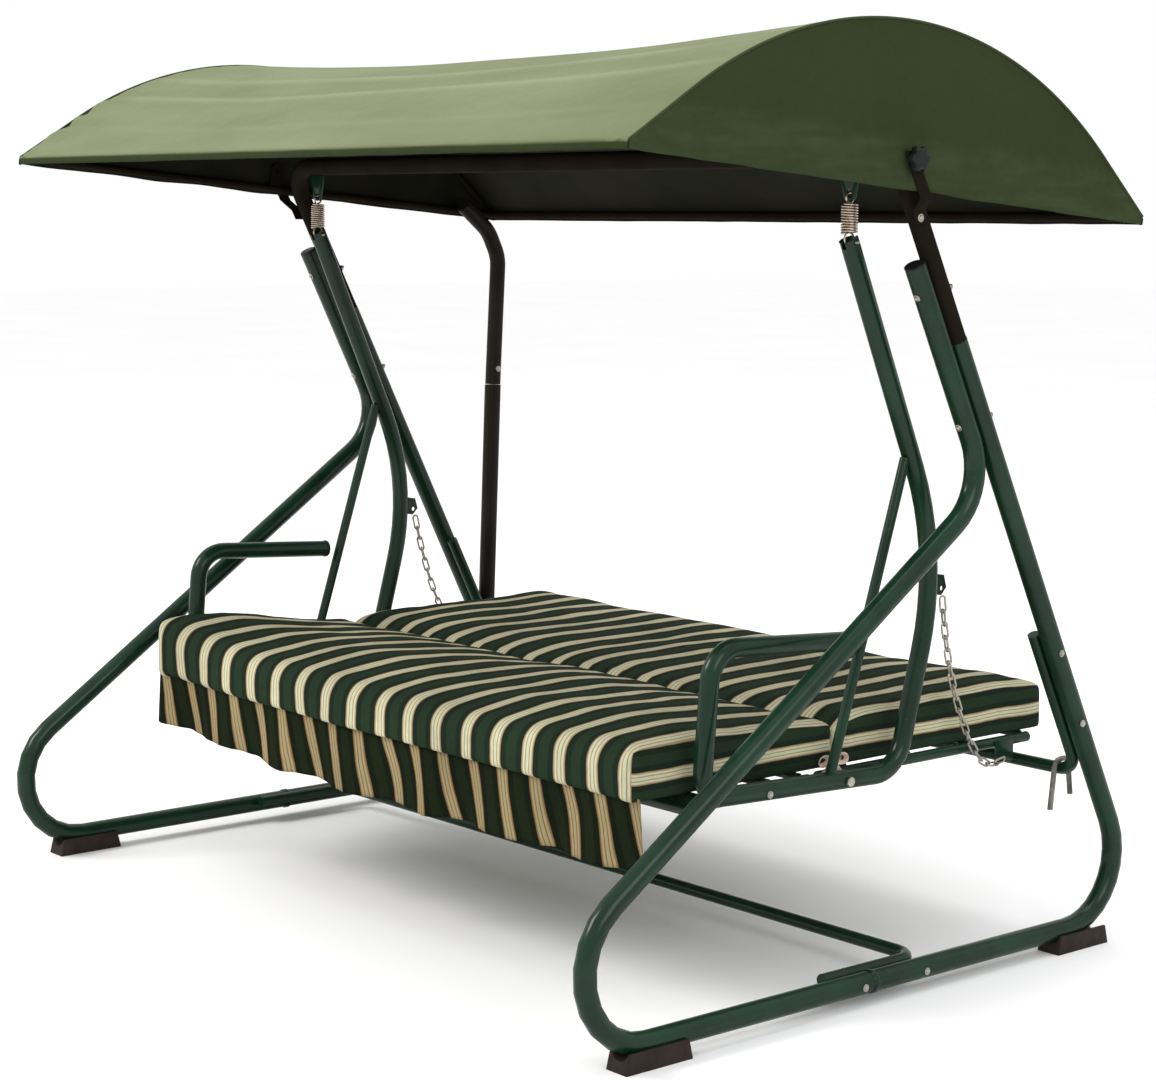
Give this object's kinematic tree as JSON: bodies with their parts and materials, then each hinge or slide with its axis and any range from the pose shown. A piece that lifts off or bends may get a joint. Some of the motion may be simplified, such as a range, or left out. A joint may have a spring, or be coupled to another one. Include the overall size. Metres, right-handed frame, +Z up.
{
  "type": "canopy swing bench",
  "caption": "Garden swing bench with bent tube side frames, fabric canopy, springs, armrests and a striped mattress on a fold-flat backrest.",
  "frame": {"origin": "on the ground, under the middle of the whole bench's bounding box", "axes": "+X along the bench, to the sitter's left; -Y to the front, the way a sitter faces; +Z up"},
  "size_m": [2.0272, 1.3975, 1.7389],
  "materials": {
    "frame_paint": "satin",
    "post_paint": "satin",
    "foot_plastic": "matte",
    "black_plastic": "satin",
    "zinc": "satin",
    "canopy_cloth": "matte",
    "striped_cloth": "matte"
  },
  "bodies": {
    "frame": {"base_crossbar": "frame_paint", "canopy_strap_left": "frame_paint", "canopy_strap_right": "frame_paint", "crossbar_clip": "zinc", "foot_front_left": "foot_plastic", "foot_front_right": "foot_plastic", "foot_rear_left": "foot_plastic", "foot_rear_right": "foot_plastic", "front_leg_left": "frame_paint", "front_leg_right": "frame_paint", "rear_crossbar": "frame_paint", "rear_leg_left": "frame_paint", "rear_leg_right": "frame_paint", "rear_post_lower": "post_paint", "rear_post_upper": "post_paint", "spring_bracket_left": "frame_paint", "spring_bracket_right": "frame_paint", "top_frame": "frame_paint"},
    "hanger": {"spring_left": "zinc", "spring_right": "zinc"},
    "seat": {"arm_brace_left": "frame_paint", "arm_brace_right": "frame_paint", "armrest_cap_left": "black_plastic", "armrest_cap_right": "black_plastic", "armrest_left": "frame_paint", "armrest_right": "frame_paint", "chain_left": "zinc", "chain_right": "zinc", "hanger_arm_left": "frame_paint", "hanger_arm_right": "frame_paint", "hinge_pin_left": "zinc", "hinge_pin_right": "zinc", "seat_cushion": "striped_cloth", "seat_front_bar": "frame_paint", "seat_rail_left": "frame_paint", "seat_rail_right": "frame_paint", "seat_rear_bar": "frame_paint", "seat_slat_1": "frame_paint", "seat_slat_2": "frame_paint", "seat_valance": "striped_cloth", "spring_pin_left": "zinc", "spring_pin_right": "zinc"},
    "backrest": {"backrest_cushion": "striped_cloth", "backrest_front_bar": "frame_paint", "backrest_rail_left": "frame_paint", "backrest_rail_right": "frame_paint", "backrest_rear_bar": "frame_paint", "backrest_slat_1": "frame_paint", "backrest_slat_2": "frame_paint", "chain_lug_left": "frame_paint", "chain_lug_right": "frame_paint"},
    "canopy": {"canopy_arch_left": "frame_paint", "canopy_arch_right": "frame_paint", "canopy_fabric": "canopy_cloth", "canopy_front_rail": "frame_paint", "canopy_knob_left": "black_plastic", "canopy_knob_right": "black_plastic", "canopy_rear_rail": "frame_paint", "canopy_side_bar_left": "frame_paint", "canopy_side_bar_right": "frame_paint"}
  },
  "joints": [
    {"name": "swing", "type": "hinge", "parent": "frame", "child": "hanger", "pos_m": [0, 0.0221, 1.446], "axis": [1, 0, 0], "range_deg": [-15, 15]},
    {"name": "bounce", "type": "slide", "parent": "hanger", "child": "seat", "axis": [0, 0, 1], "range_m": [-0.018, 0], "stiffness_N_per_m": 15000, "springref_m": 0.02, "deforming": ["spring_left", "spring_right"]},
    {"name": "backrest_fold", "type": "hinge", "parent": "seat", "child": "backrest", "pos_m": [0, 0.0302, 0.385], "axis": [1, 0, 0], "range_deg": [0, 65]},
    {"name": "canopy_tilt", "type": "hinge", "parent": "frame", "child": "canopy", "pos_m": [0, 0.0082, 1.502], "axis": [1, 0, 0], "range_deg": [0, 12]}
  ]
}
